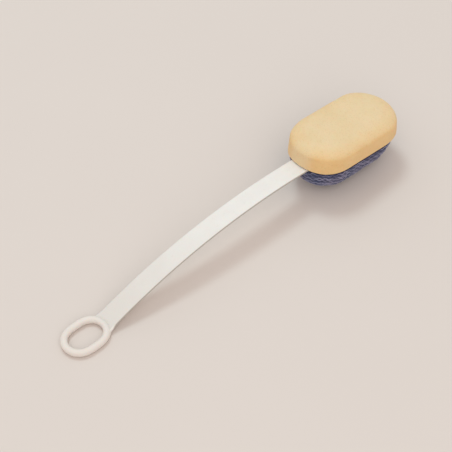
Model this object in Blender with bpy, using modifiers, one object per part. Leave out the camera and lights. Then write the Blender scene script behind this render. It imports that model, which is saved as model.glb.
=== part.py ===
"""Long-handled bath scrubber: a moulded handle with a hanging loop, and an oval head that is a foam sponge on
one side and a netted scrubbing pad on the other.

World frame, in metres. +X runs from the hanging loop to the head and +Z is up. The scrubber lies on z = 0
with its sponge up: the loop lies flat, the strap arches over, and the netted pad rests on its own flattened
underside. The origin is the middle of the bounding box, at z = 0. The object is its own mirror image across
y = 0.
"""

import math

import bmesh
import bpy
from mathutils import Matrix, Vector

# Gap kept between pieces that touch.
GAP = 0.0003

# Working limits: points closer than this are one point, faces flatter than this are one face, and an edge
# sharper than this is shaded as a corner. A cutter reaches this far past what it cuts.
MERGE_DISTANCE = 1e-6
FLAT_ANGLE = math.radians(0.05)
CORNER_ANGLE = math.radians(35.0)
CUTTER_REACH = 0.0100

# Hanging loop: a round bar that follows an oval of two straights and two half circles.
LOOP_HALF_STRAIGHT = 0.0060
LOOP_END_RADIUS = 0.0150
LOOP_BAR_RADIUS = 0.0036
LOOP_BAR_SIDES = 12

# Strap: a flat bar that starts in the loop's bar and arches to the head.
STRAP_WIDTH = 0.0218
STRAP_THICKNESS = 0.0030
STRAP_LENGTH = 0.2546
STRAP_EDGE_ROUNDING = 0.0007
STRAP_EDGE_STEPS = 2
SLOPE_AT_LOOP = math.radians(22.5)
SLOPE_AT_HEAD = math.radians(-4.3)
SLOPE_BOW = math.radians(-5.3)
STATION_STEP = 0.001
BEND_STEP = 0.0055
STRAP_START = -0.0016
STRAP_ROOT_IN_BAR = 0.4
FLARE_RADIUS = 0.0050

# Paddle: the handle's flat oval end, hidden between the two halves of the head.
PADDLE_HALF_STRAIGHT = 0.0220
PADDLE_END_RADIUS = 0.0220
PADDLE_NECK_RADIUS = 0.0080
PADDLE_TIP_ANGLE = 9.0
PADDLE_HOLE_RADIUS = 0.0040
PADDLE_HOLE_SIDES = 16
PADDLE_HOLE_SPACING = (0.0200, 0.0170)

# Head: an oval of two straights and two half circles, parted by a flat seam.
HEAD_HALF_STRAIGHT = 0.0270
HEAD_END_RADIUS = 0.0355
HEAD_CENTRE_FROM_STRAP = 0.0638
SEAM_ABOVE_STRAP = 0.0009
RING_STEPS = 44

# Sponge half.
SPONGE_THICKNESS = 0.0222
SPONGE_TOP_ROUNDING = 0.0070
SPONGE_BOTTOM_ROUNDING = 0.0015
SPONGE_CROWN = 0.0008
CROWN_RING = 0.45
CROWN_DROP_AT_RING = 0.2

# Netted half: net, lining and foam core are nested bowls, each inset from the one outside it.
PAD_DEPTH = 0.0385
PAD_ROUNDNESS = 2.15
PAD_WALL_STEPS = 9
PAD_STRAIGHT_AT_BOTTOM = 0.5
PAD_RIM_INSET = 0.0007
PAD_TOP = -0.0022
PAD_WALL_FOOT = -0.0036
NET_THICKNESS = 0.0020
LINING_THICKNESS = 0.0008
CORE_TOP = -0.0009
MOUTH_SLACK = 0.0012

# Binding round the rim of the net and lining, and the thread that sews it.
BINDING_WIDTH = 0.0017
BINDING_THICKNESS = 0.0016
BINDING_SIDES = 8
THREAD_RADIUS = 0.0004
THREAD_SIDES = 6
RIM_END_ANGLE = 4.5

# Adhesive films: one between the sponge and the paddle and core, one between the paddle and the core.
SPONGE_FILM_THICKNESS = 0.0003
SPONGE_FILM_INSET = 0.0050
PADDLE_FILM_THICKNESS = 0.0004
PADDLE_FILM_INSET = 0.0010

# Colour, linear RGB, and roughness of each piece.
FINISHES = {
    "handle": ((0.80, 0.77, 0.72), 0.35),
    "sponge_pad": ((0.80, 0.60, 0.36), 0.95),
    "net_cover": ((0.13, 0.14, 0.26), 0.9),
    "cover_lining": ((0.06, 0.07, 0.14), 0.9),
    "core_pad": ((0.75, 0.73, 0.68), 0.95),
    "seam_binding": ((0.03, 0.03, 0.07), 0.9),
    "seam_thread": ((0.05, 0.05, 0.10), 0.6),
    "sponge_glue_film": ((0.75, 0.68, 0.50), 0.4),
    "paddle_glue_film": ((0.75, 0.68, 0.50), 0.4),
}


def clear_scene():
    for item in list(bpy.data.objects):
        bpy.data.objects.remove(item)


def new_collection(name):
    made = bpy.data.collections.new(name)
    bpy.context.scene.collection.children.link(made)
    return made


def new_material(piece_name):
    colour, roughness = FINISHES[piece_name]
    material = bpy.data.materials.new(piece_name + "_finish")
    material.use_nodes = True
    shader = material.node_tree.nodes["Principled BSDF"]
    shader.inputs["Base Color"].default_value = (*colour, 1.0)
    shader.inputs["Roughness"].default_value = roughness
    shader.inputs["Metallic"].default_value = 0.0
    return material


def new_piece(name, mesh, parts):
    made = bpy.data.objects.new(name, mesh)
    parts.objects.link(made)
    mesh.materials.clear()
    mesh.materials.append(new_material(name))
    return made


def new_cutter(name, mesh, cutters):
    made = bpy.data.objects.new(name, mesh)
    cutters.objects.link(made)
    made.hide_render = True
    made.display_type = "WIRE"
    return made


def evaluated_mesh(item):
    """The mesh that an object's curve or modifiers make."""
    graph = bpy.context.evaluated_depsgraph_get()
    return bpy.data.meshes.new_from_object(item.evaluated_get(graph))


def add_boolean(item, other, operation):
    modifier = item.modifiers.new(operation.title() + "_" + other.name, "BOOLEAN")
    modifier.operation = operation
    modifier.solver = "EXACT"
    modifier.object = other


def arc(centre, radius, start_degrees, end_degrees, steps):
    """Points of a circle's arc, both ends included."""
    points = []
    for i in range(steps + 1):
        angle = math.radians(start_degrees + (end_degrees - start_degrees) * i / steps)
        points.append((centre[0] + radius * math.cos(angle), centre[1] + radius * math.sin(angle)))
    return points


def mirrored(half):
    """A closed outline from its half on the +Y side, which starts and ends off the X axis."""
    return half + [(x, -y) for x, y in reversed(half)]


# ---------------------------------------------------------------- the arch


def slope_at(length):
    """Slope of the strap's middle line, by distance along it from the loop."""
    share = min(max(length / STRAP_LENGTH, 0.0), 1.0)
    straight_change = (SLOPE_AT_HEAD - SLOPE_AT_LOOP) * share
    return SLOPE_AT_LOOP + straight_change + SLOPE_BOW * share * (1.0 - share)


def arch_stations():
    """Points (x, z) every STATION_STEP along the middle line of the strap and head, from the loop."""
    x, z = LOOP_HALF_STRAIGHT + LOOP_END_RADIUS, LOOP_BAR_RADIUS
    stations = [(x, z)]
    total = STRAP_LENGTH + 2.0 * HEAD_CENTRE_FROM_STRAP
    for i in range(round(total / STATION_STEP)):
        middle = slope_at((i + 0.5) * STATION_STEP)
        x += STATION_STEP * math.cos(middle)
        z += STATION_STEP * math.sin(middle)
        stations.append((x, z))
    return stations


STATIONS = arch_stations()


def on_arch(length, height):
    """The point (x, z) that is that far along the strap's middle line and that far above it."""
    slope = slope_at(length)
    index = min(max(int(length / STATION_STEP), 0), len(STATIONS) - 1)
    rest = length - index * STATION_STEP
    x = STATIONS[index][0] + rest * math.cos(slope) - height * math.sin(slope)
    z = STATIONS[index][1] + rest * math.sin(slope) + height * math.cos(slope)
    return x, z


def head_frame():
    """The seam's frame: origin in the middle of the head, +X to its far end, +Z out through the sponge."""
    length = STRAP_LENGTH + HEAD_CENTRE_FROM_STRAP
    x, z = on_arch(length, STRAP_THICKNESS / 2.0 + SEAM_ABOVE_STRAP)
    return Matrix.Translation((x, 0.0, z)) @ Matrix.Rotation(-SLOPE_AT_HEAD, 4, "Y")


HEAD = head_frame()


# ---------------------------------------------------------------- flat plates


def strap_outline(grow=0.0):
    """Outline of the strap and paddle laid flat: x is the distance along it, and grow widens it all round."""
    half_width = STRAP_WIDTH / 2.0 + grow
    loop_centre = -LOOP_END_RADIUS
    loop_edge = LOOP_END_RADIUS + LOOP_BAR_RADIUS
    flare_up = half_width + FLARE_RADIUS
    flare_along = loop_centre + math.sqrt((loop_edge + FLARE_RADIUS) ** 2 - flare_up**2)
    flare_turn = math.degrees(math.atan2(flare_up, flare_along - loop_centre))
    root_radius = LOOP_END_RADIUS + STRAP_ROOT_IN_BAR * LOOP_BAR_RADIUS
    start_up = math.sqrt(root_radius**2 - (STRAP_START - loop_centre) ** 2)

    neck_radius = PADDLE_NECK_RADIUS - grow
    paddle_radius = PADDLE_END_RADIUS + grow
    near_centre = STRAP_LENGTH + HEAD_CENTRE_FROM_STRAP - PADDLE_HALF_STRAIGHT
    far_centre = near_centre + 2.0 * PADDLE_HALF_STRAIGHT
    neck_up = half_width + neck_radius
    neck_back = math.sqrt((paddle_radius + neck_radius) ** 2 - neck_up**2)
    neck_turn = math.degrees(math.atan2(neck_up, neck_back))

    half = [(STRAP_START, start_up)]
    half += arc((flare_along, flare_up), FLARE_RADIUS, flare_turn - 180.0, -90.0, 4)
    half += arc((near_centre - neck_back, neck_up), neck_radius, -90.0, -neck_turn, 3)
    half += arc((near_centre, 0.0), paddle_radius, 180.0 - neck_turn, 90.0, 4)
    half += arc((far_centre, 0.0), paddle_radius, 90.0, PADDLE_TIP_ANGLE, 6)
    return mirrored(half)


def oval_outline(half_straight, radius, steps=10):
    half = arc((half_straight, 0.0), radius, 90.0 / steps, 90.0, steps)
    half += arc((-half_straight, 0.0), radius, 90.0, 180.0 - 90.0 / steps, steps)
    return mirrored(half)


def flat_plate(outline, low, high):
    """A closed mesh of a flat outline between two heights, with each cap one face."""
    curve = bpy.data.curves.new("outline", "CURVE")
    curve.dimensions = "2D"
    curve.fill_mode = "BOTH"
    curve.extrude = (high - low) / 2.0
    spline = curve.splines.new("POLY")
    spline.points.add(len(outline) - 1)
    for point, (x, y) in zip(spline.points, outline):
        point.co = (x, y, 0.0, 1.0)
    spline.use_cyclic_u = True
    item = bpy.data.objects.new("outline", curve)
    bpy.context.scene.collection.objects.link(item)
    mesh = evaluated_mesh(item)
    bpy.data.objects.remove(item)
    mesh.transform(Matrix.Translation((0.0, 0.0, (low + high) / 2.0)))

    shape = bmesh.new()
    shape.from_mesh(mesh)
    bmesh.ops.remove_doubles(shape, verts=shape.verts, dist=MERGE_DISTANCE)
    bmesh.ops.dissolve_limit(shape, angle_limit=FLAT_ANGLE, verts=shape.verts, edges=shape.edges)
    bmesh.ops.recalc_face_normals(shape, faces=shape.faces)
    shape.to_mesh(mesh)
    shape.free()
    return mesh


def rounded_and_bent(mesh):
    """Rounds the flat strap's edges, cuts it across at every bend step, and carries it onto the arch."""
    shape = bmesh.new()
    shape.from_mesh(mesh)
    rims = []
    for edge in shape.edges:
        level = abs(edge.verts[0].co.z - edge.verts[1].co.z) < MERGE_DISTANCE
        if level and edge.calc_face_angle(0.0) > CORNER_ANGLE:
            rims.append(edge)
    bmesh.ops.bevel(shape, geom=rims, offset=STRAP_EDGE_ROUNDING, segments=STRAP_EDGE_STEPS, profile=0.5,
                    affect="EDGES")
    for i in range(1, round(STRAP_LENGTH / BEND_STEP) + 1):
        geometry = shape.verts[:] + shape.edges[:] + shape.faces[:]
        bmesh.ops.bisect_plane(shape, geom=geometry, dist=MERGE_DISTANCE / 10.0,
                               plane_co=(i * BEND_STEP, 0.0, 0.0), plane_no=(1.0, 0.0, 0.0))
    for vertex in shape.verts:
        vertex.co.x, vertex.co.z = on_arch(vertex.co.x, vertex.co.z)
    bmesh.ops.recalc_face_normals(shape, faces=shape.faces)
    shape.to_mesh(mesh)
    shape.free()
    return mesh


# ---------------------------------------------------------------- the handle


def bar_along(name, points, radius, closed, sides):
    """A round bar with an even number of sides along a line of points, as a closed mesh."""
    curve = bpy.data.curves.new(name, "CURVE")
    curve.dimensions = "3D"
    curve.twist_mode = "Z_UP"
    curve.bevel_depth = radius
    curve.bevel_resolution = sides // 2 - 2
    curve.use_fill_caps = not closed
    spline = curve.splines.new("POLY")
    spline.points.add(len(points) - 1)
    for point, position in zip(spline.points, points):
        point.co = (*position, 1.0)
    spline.use_cyclic_u = closed
    item = bpy.data.objects.new(name, curve)
    bpy.context.scene.collection.objects.link(item)
    mesh = evaluated_mesh(item)
    bpy.data.objects.remove(item)
    shape = bmesh.new()
    shape.from_mesh(mesh)
    bmesh.ops.remove_doubles(shape, verts=shape.verts, dist=MERGE_DISTANCE)
    bmesh.ops.recalc_face_normals(shape, faces=shape.faces)
    shape.to_mesh(mesh)
    shape.free()
    return mesh


def build_loop(cutters):
    outline = oval_outline(LOOP_HALF_STRAIGHT, LOOP_END_RADIUS)
    points = [(x, y, LOOP_BAR_RADIUS) for x, y in outline]
    mesh = bar_along("loop_bar", points, LOOP_BAR_RADIUS, True, LOOP_BAR_SIDES)
    return new_cutter("loop_bar", mesh, cutters)


def build_paddle_hole(cutters, index, along, across):
    mesh = bpy.data.meshes.new("paddle_hole")
    shape = bmesh.new()
    bmesh.ops.create_cone(shape, cap_ends=True, segments=PADDLE_HOLE_SIDES, radius1=PADDLE_HOLE_RADIUS,
                          radius2=PADDLE_HOLE_RADIUS, depth=CUTTER_REACH)
    shape.to_mesh(mesh)
    shape.free()
    hole = new_cutter("paddle_hole_%d" % index, mesh, cutters)
    middle = -SEAM_ABOVE_STRAP - STRAP_THICKNESS / 2.0
    hole.matrix_world = HEAD @ Matrix.Translation((along, across, middle))
    return hole


def build_handle(parts, cutters):
    """Loop, strap and paddle: one moulding, with holes in the paddle that the adhesive keys into."""
    mesh = flat_plate(strap_outline(), -STRAP_THICKNESS / 2.0, STRAP_THICKNESS / 2.0)
    handle = new_piece("handle", rounded_and_bent(mesh), parts)
    add_boolean(handle, build_loop(cutters), "UNION")
    index = 0
    for along in (-1.0, 0.0, 1.0):
        for across in (-0.5, 0.5):
            place = (along * PADDLE_HOLE_SPACING[0], across * PADDLE_HOLE_SPACING[1])
            add_boolean(handle, build_paddle_hole(cutters, index, *place), "DIFFERENCE")
            index += 1
    handle.data = evaluated_mesh(handle)
    handle.modifiers.clear()
    return handle


# ---------------------------------------------------------------- the head


def turned_oval(name, profile, straight_at_axis=1.0):
    """A profile of (radius, height) points, from the axis over the top, down the outside and back to the
    axis, turned about Z and then pulled apart along X into an oval. straight_at_axis is the share of the
    oval's straight that is left at the axis."""
    start = math.pi / RING_STEPS
    mesh = bpy.data.meshes.new(name)
    points = [(radius * math.cos(start), radius * math.sin(start), height) for radius, height in profile]
    mesh.from_pydata(points, [(i, i + 1) for i in range(len(points) - 1)], [])
    item = bpy.data.objects.new(name, mesh)
    bpy.context.scene.collection.objects.link(item)
    screw = item.modifiers.new("Turn", "SCREW")
    screw.axis = "Z"
    screw.angle = 2.0 * math.pi
    screw.steps = RING_STEPS
    screw.render_steps = RING_STEPS
    screw.use_merge_vertices = True
    screw.merge_threshold = MERGE_DISTANCE
    turned = evaluated_mesh(item)
    bpy.data.objects.remove(item)
    widest = max(radius for radius, _ in profile)
    for vertex in turned.vertices:
        radius = math.hypot(vertex.co.x, vertex.co.y)
        if radius > MERGE_DISTANCE:
            share = straight_at_axis + (1.0 - straight_at_axis) * radius / widest
            vertex.co.x += math.copysign(HEAD_HALF_STRAIGHT * share, vertex.co.x)
    return turned


def sponge_profile():
    radius, top = HEAD_END_RADIUS, SPONGE_THICKNESS - SPONGE_CROWN
    turn = SPONGE_TOP_ROUNDING
    low = SPONGE_BOTTOM_ROUNDING
    ring = (CROWN_RING * (radius - turn), SPONGE_THICKNESS - CROWN_DROP_AT_RING * SPONGE_CROWN)
    profile = [(0.0, SPONGE_THICKNESS), ring]
    profile += arc((radius - turn, top - turn), turn, 90.0, 0.0, 6)
    profile += arc((radius - low, low), low, 0.0, -90.0, 2)
    return profile + [(0.0, 0.0)]


def bowl_profile(inset, top):
    """Outline of the netted half, inset all round, from its flat top at that height down to its bottom."""
    radius, depth = HEAD_END_RADIUS - PAD_RIM_INSET - inset, PAD_DEPTH - inset
    profile = [(0.0, top), (radius, top), (radius, PAD_WALL_FOOT)]
    for i in range(1, PAD_WALL_STEPS):
        angle = math.pi / 2.0 * i / PAD_WALL_STEPS
        out = math.cos(angle) ** (2.0 / PAD_ROUNDNESS)
        down = math.sin(angle) ** (2.0 / PAD_ROUNDNESS)
        profile.append((radius * out, -depth * down))
    return profile + [(0.0, -depth)]


def bowl(name, inset, top):
    """A solid bowl of the netted half, flattened underneath where its weight presses it on the table."""
    mesh = turned_oval(name, bowl_profile(inset, top), PAD_STRAIGHT_AT_BOTTOM)
    mesh.transform(HEAD)
    for vertex in mesh.vertices:
        vertex.co.z = max(vertex.co.z, inset)
    return mesh


def rim_line(radius, height, end_gap):
    """Points round the head's rim, open at the strap's mouth. Both ends stop end_gap from the middle."""
    turn = math.degrees(math.asin(end_gap / radius))
    half = arc((HEAD_HALF_STRAIGHT, 0.0), radius, RIM_END_ANGLE, 90.0, 10)
    half += arc((-HEAD_HALF_STRAIGHT, 0.0), radius, 90.0, 180.0 - turn, 9)
    line = [(x, -y) for x, y in reversed(half)] + half
    return [HEAD @ Vector((x, y, height)) for x, y in line]


def mouth_cutter(cutters):
    """The slot that the strap passes through in the net and lining."""
    mesh = bpy.data.meshes.new("mouth")
    shape = bmesh.new()
    bmesh.ops.create_cube(shape, size=1.0)
    shape.to_mesh(mesh)
    shape.free()
    width = STRAP_WIDTH + 2.0 * MOUTH_SLACK
    bottom = -SEAM_ABOVE_STRAP - STRAP_THICKNESS - GAP
    mesh.transform(Matrix.Diagonal((3.0 * CUTTER_REACH, width, -2.0 * bottom, 1.0)))
    cutter = new_cutter("mouth", mesh, cutters)
    cutter.matrix_world = HEAD @ Matrix.Translation((-HEAD_HALF_STRAIGHT - HEAD_END_RADIUS, 0.0, 0.0))
    return cutter


def build_sponge(parts):
    mesh = turned_oval("sponge_pad", sponge_profile())
    mesh.transform(HEAD)
    return new_piece("sponge_pad", mesh, parts)


def build_skin(name, inset, thickness, parts, cutters, mouth):
    """A thin bowl of cloth or net, open at its rim, with a slot for the strap."""
    skin = new_piece(name, bowl(name, inset, PAD_TOP), parts)
    inside = new_cutter(name + "_inside", bowl(name, inset + thickness, CUTTER_REACH), cutters)
    add_boolean(skin, inside, "DIFFERENCE")
    add_boolean(skin, mouth, "DIFFERENCE")
    return skin


def build_core(parts, cutters, mouth):
    """The foam core of the netted half, with a recess for the paddle and the adhesive under it."""
    inset = NET_THICKNESS + LINING_THICKNESS + 2.0 * GAP
    core = new_piece("core_pad", bowl("core_pad", inset, CORE_TOP), parts)
    floor = -SEAM_ABOVE_STRAP - STRAP_THICKNESS - PADDLE_FILM_THICKNESS - 2.0 * GAP
    recess = new_cutter("paddle_recess", flat_plate(strap_outline(GAP), floor, CUTTER_REACH), cutters)
    recess.matrix_world = HEAD @ Matrix.Translation((-STRAP_LENGTH - HEAD_CENTRE_FROM_STRAP, 0.0, 0.0))
    add_boolean(core, recess, "DIFFERENCE")
    add_boolean(core, mouth, "DIFFERENCE")
    return core


def build_film(name, half_straight, radius, top, thickness, parts):
    """A flat oval film of set adhesive."""
    mesh = flat_plate(oval_outline(half_straight, radius, 8), top - thickness, top)
    mesh.transform(HEAD)
    return new_piece(name, mesh, parts)


def build_binding(parts):
    """The tape that binds the rims of the net and lining. Its two ends stop beside the strap."""
    radius = HEAD_END_RADIUS - PAD_RIM_INSET - 2.0 * THREAD_RADIUS - GAP - BINDING_WIDTH / 2.0
    line = rim_line(radius, -GAP - BINDING_THICKNESS / 2.0, STRAP_WIDTH / 2.0 + MOUTH_SLACK)
    mesh = bar_along("seam_binding", line, BINDING_THICKNESS / 2.0, False, BINDING_SIDES)
    return new_piece("seam_binding", mesh, parts)


def build_thread(parts):
    """The sewing thread round the outside of the binding."""
    radius = HEAD_END_RADIUS - PAD_RIM_INSET - THREAD_RADIUS
    line = rim_line(radius, -GAP - BINDING_THICKNESS / 2.0, STRAP_WIDTH / 2.0 + MOUTH_SLACK)
    mesh = bar_along("seam_thread", line, THREAD_RADIUS, False, THREAD_SIDES)
    return new_piece("seam_thread", mesh, parts)


def centre_on_origin(pieces, cutters):
    """Puts pieces and cutters under one empty, moved so that the origin is the middle of the pieces' box."""
    base = bpy.data.objects.new("scrubber", None)
    bpy.context.scene.collection.objects.link(base)
    bpy.context.view_layer.update()
    reach = [vertex.co.x for item in pieces for vertex in evaluated_mesh(item).vertices]
    for item in pieces + list(cutters.objects):
        item.parent = base
    base.location.x = -(min(reach) + max(reach)) / 2.0


def build_scrubber():
    clear_scene()
    parts = new_collection("back_scrubber")
    cutters = new_collection("cutters")
    mouth = mouth_cutter(cutters)
    sponge_film_radius = HEAD_END_RADIUS - SPONGE_FILM_INSET
    paddle_film_radius = PADDLE_END_RADIUS - PADDLE_FILM_INSET
    under_paddle = -SEAM_ABOVE_STRAP - STRAP_THICKNESS - GAP
    pieces = [
        build_handle(parts, cutters),
        build_sponge(parts),
        build_skin("net_cover", 0.0, NET_THICKNESS, parts, cutters, mouth),
        build_skin("cover_lining", NET_THICKNESS + GAP, LINING_THICKNESS, parts, cutters, mouth),
        build_core(parts, cutters, mouth),
        build_binding(parts),
        build_thread(parts),
        build_film("sponge_glue_film", HEAD_HALF_STRAIGHT, sponge_film_radius, -GAP,
                   SPONGE_FILM_THICKNESS, parts),
        build_film("paddle_glue_film", PADDLE_HALF_STRAIGHT, paddle_film_radius, under_paddle,
                   PADDLE_FILM_THICKNESS, parts),
    ]
    for item in pieces:
        item.data.shade_smooth()
        item.data.set_sharp_from_angle(angle=CORNER_ANGLE)
    centre_on_origin(pieces, cutters)


build_scrubber()
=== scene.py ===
"""Looks of the back scrubber: a white moulded handle, a foam sponge, and a blue net over dark cloth.

Everything is in the CAD's frame, in metres: +X runs from the hanging loop to the head, +Z is up, and the
scrubber lies on z = 0. The first dimensions repeat the CAD's, because every piece here follows the same
arch and the same oval head.
"""

import math

import bmesh
import bpy
import numpy as np
from mathutils import Matrix, Vector, noise
from mathutils.kdtree import KDTree


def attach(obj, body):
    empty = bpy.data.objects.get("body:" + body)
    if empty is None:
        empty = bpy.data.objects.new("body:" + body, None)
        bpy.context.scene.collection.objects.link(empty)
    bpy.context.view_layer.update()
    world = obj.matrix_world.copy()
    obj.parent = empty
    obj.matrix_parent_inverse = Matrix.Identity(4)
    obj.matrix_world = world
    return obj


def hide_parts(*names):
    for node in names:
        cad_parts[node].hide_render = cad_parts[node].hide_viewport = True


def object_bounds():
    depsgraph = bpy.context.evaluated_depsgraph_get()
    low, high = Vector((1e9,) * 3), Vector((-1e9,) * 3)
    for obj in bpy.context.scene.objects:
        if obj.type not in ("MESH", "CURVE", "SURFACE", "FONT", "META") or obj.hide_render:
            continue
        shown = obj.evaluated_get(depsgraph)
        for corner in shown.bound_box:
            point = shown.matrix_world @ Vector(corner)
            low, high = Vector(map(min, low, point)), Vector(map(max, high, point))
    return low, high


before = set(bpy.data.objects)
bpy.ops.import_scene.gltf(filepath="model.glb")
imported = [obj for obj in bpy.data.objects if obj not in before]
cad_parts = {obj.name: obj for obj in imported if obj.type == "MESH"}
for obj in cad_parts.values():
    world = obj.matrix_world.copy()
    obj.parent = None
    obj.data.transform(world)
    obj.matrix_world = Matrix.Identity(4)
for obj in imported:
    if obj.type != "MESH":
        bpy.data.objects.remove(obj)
CAD_LOW, CAD_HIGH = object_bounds()

# ---- dimensions, as in the CAD

LOOP_HALF_STRAIGHT = 0.0060
LOOP_END_RADIUS = 0.0150
LOOP_BAR_RADIUS = 0.0036
LOOP_CENTRE_X = CAD_LOW.x + LOOP_HALF_STRAIGHT + LOOP_END_RADIUS + LOOP_BAR_RADIUS

STRAP_HALF_WIDTH = 0.0109
STRAP_HALF_THICKNESS = 0.0015
STRAP_LENGTH = 0.2546
SLOPE_AT_LOOP = math.radians(22.5)
SLOPE_AT_HEAD = math.radians(-4.3)
SLOPE_BOW = math.radians(-5.3)
STATION_STEP = 0.001

PADDLE_HALF_STRAIGHT = 0.0220
PADDLE_RADIUS = 0.0220
PADDLE_NECK_RADIUS = 0.0080
PADDLE_HOLE_RADIUS = 0.0040
PADDLE_HOLE_SPACING = (0.0200, 0.0170)
PADDLE_HOLE_DEPTH = 0.01

HEAD_HALF_STRAIGHT = 0.0270
HEAD_RADIUS = 0.0355
HEAD_CENTRE = STRAP_LENGTH + 0.0638
PADDLE_NEAR, PADDLE_FAR = HEAD_CENTRE - PADDLE_HALF_STRAIGHT, HEAD_CENTRE + PADDLE_HALF_STRAIGHT
ARCH_LENGTH = HEAD_CENTRE + 0.07
SEAM_ABOVE_STRAP = 0.0009

PAD_RADIUS = HEAD_RADIUS - 0.0007
PAD_DEPTH = 0.0385
PAD_ROUNDNESS = 2.15
PAD_STRAIGHT_AT_BOTTOM = 0.5
PAD_TOP = -0.0022
MOUTH_HALF_WIDTH = STRAP_HALF_WIDTH + 0.0012
MOUTH_DEPTH = 0.0042
LINING_INSET = 0.0010
LINING_THICKNESS = 0.0008
CORE_INSET = 0.0019
CORE_TOP = -0.0009
CORE_RECESS_FLOOR = -0.0051
CORE_RECESS_ROOM = 0.0006

BINDING_LINE_RADIUS = 0.0335
BINDING_HEIGHT = -0.00115
BINDING_HALF_WIDTH = 0.00105
BINDING_HALF_HEIGHT = 0.00090
STITCH_PITCH = 0.0034
THREAD_RADIUS = 0.00024


# ---- small tools


def linear(red, green, blue):
    """A colour given in 0 to 255 display values, as the linear values that shaders take."""
    made = []
    for value in (red, green, blue):
        share = value / 255.0
        made.append(share / 12.92 if share <= 0.04045 else ((share + 0.055) / 1.055) ** 2.4)
    return (*made, 1.0)


def smooth_step(value):
    value = np.clip(value, 0.0, 1.0)
    return value * value * (3.0 - 2.0 * value)


def set_all(thing, **settings):
    for name, value in settings.items():
        setattr(thing, name, value)
    return thing


def in_scene(name, data):
    made = bpy.data.objects.new(name, data)
    bpy.context.scene.collection.objects.link(made)
    return made


def new_piece(name, mesh, material):
    mesh.materials.clear()
    mesh.materials.append(material)
    mesh.shade_smooth()
    return in_scene(name, mesh)


def made_mesh(name, shape):
    """The mesh of a bmesh, which is freed."""
    mesh = bpy.data.meshes.new(name)
    shape.to_mesh(mesh)
    shape.free()
    return mesh


def mesh_of(name, points, faces):
    mesh = bpy.data.meshes.new(name)
    mesh.from_pydata([tuple(p) for p in points], [], faces)
    mesh.update()
    return mesh


def apply_modifiers(item):
    old = item.data
    graph = bpy.context.evaluated_depsgraph_get()
    item.data = bpy.data.meshes.new_from_object(item.evaluated_get(graph))
    item.modifiers.clear()
    bpy.data.meshes.remove(old)
    item.data.shade_smooth()


def surface_of(mesh):
    """A mesh's points and normals."""
    flat = np.zeros((2, len(mesh.vertices) * 3), np.float32)
    mesh.vertices.foreach_get("co", flat[0])
    mesh.vertices.foreach_get("normal", flat[1])
    return flat.reshape(2, -1, 3).astype(float)


def set_points(mesh, points):
    mesh.vertices.foreach_set("co", np.asarray(points, np.float32).ravel())
    mesh.update()


def set_attribute(mesh, name, values):
    attribute = mesh.attributes.new(name, "FLOAT", "POINT")
    attribute.data.foreach_set("value", np.asarray(values, np.float32))


def noise_at(points, frequency):
    return np.array([noise.noise(Vector(point) * frequency) for point in points])


def ring_faces(low, high, around):
    """Faces between two rings of that many points, which start at these indices."""
    steps = [(i, (i + 1) % around) for i in range(around)]
    return [(low + i, high + i, high + j, low + j) for i, j in steps]


def tree_of(points):
    tree = KDTree(len(points))
    for index, point in enumerate(points):
        tree.insert(point, index)
    tree.balance()
    return tree


# ---- the arch and the head's frame


def slope_at(length):
    """Slope of the strap's middle line, by distance along it from the loop."""
    share = min(max(length / STRAP_LENGTH, 0.0), 1.0)
    straight_change = (SLOPE_AT_HEAD - SLOPE_AT_LOOP) * share
    return SLOPE_AT_LOOP + straight_change + SLOPE_BOW * share * (1.0 - share)


def arch_stations():
    x, z = LOOP_CENTRE_X + LOOP_HALF_STRAIGHT + LOOP_END_RADIUS, LOOP_BAR_RADIUS
    stations = [(x, z)]
    for i in range(round(ARCH_LENGTH / STATION_STEP)):
        middle = slope_at((i + 0.5) * STATION_STEP)
        x += STATION_STEP * math.cos(middle)
        z += STATION_STEP * math.sin(middle)
        stations.append((x, z))
    return stations


STATIONS = arch_stations()


def on_arch(length, height):
    """The point (x, z) that far along the strap's middle line and that far above it."""
    slope = slope_at(length)
    index = min(max(int(length / STATION_STEP), 0), len(STATIONS) - 1)
    rest = length - index * STATION_STEP
    x = STATIONS[index][0] + rest * math.cos(slope) - height * math.sin(slope)
    z = STATIONS[index][1] + rest * math.sin(slope) + height * math.cos(slope)
    return x, z


def head_frame():
    """The seam's frame: origin in the middle of the head, +X to its far end, +Z out through the sponge."""
    x, z = on_arch(HEAD_CENTRE, STRAP_HALF_THICKNESS + SEAM_ABOVE_STRAP)
    return Matrix.Translation((x, 0.0, z)) @ Matrix.Rotation(-SLOPE_AT_HEAD, 4, "Y")


HEAD = head_frame()
HEAD_TURN = np.array(HEAD.to_3x3())
HEAD_PLACE = np.array(HEAD.translation)


def from_head(points):
    """Points in the head's frame, as points in the row frame."""
    return points @ HEAD_TURN.T + HEAD_PLACE


def to_head(points):
    return (points - HEAD_PLACE) @ HEAD_TURN


# ---- materials


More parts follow.
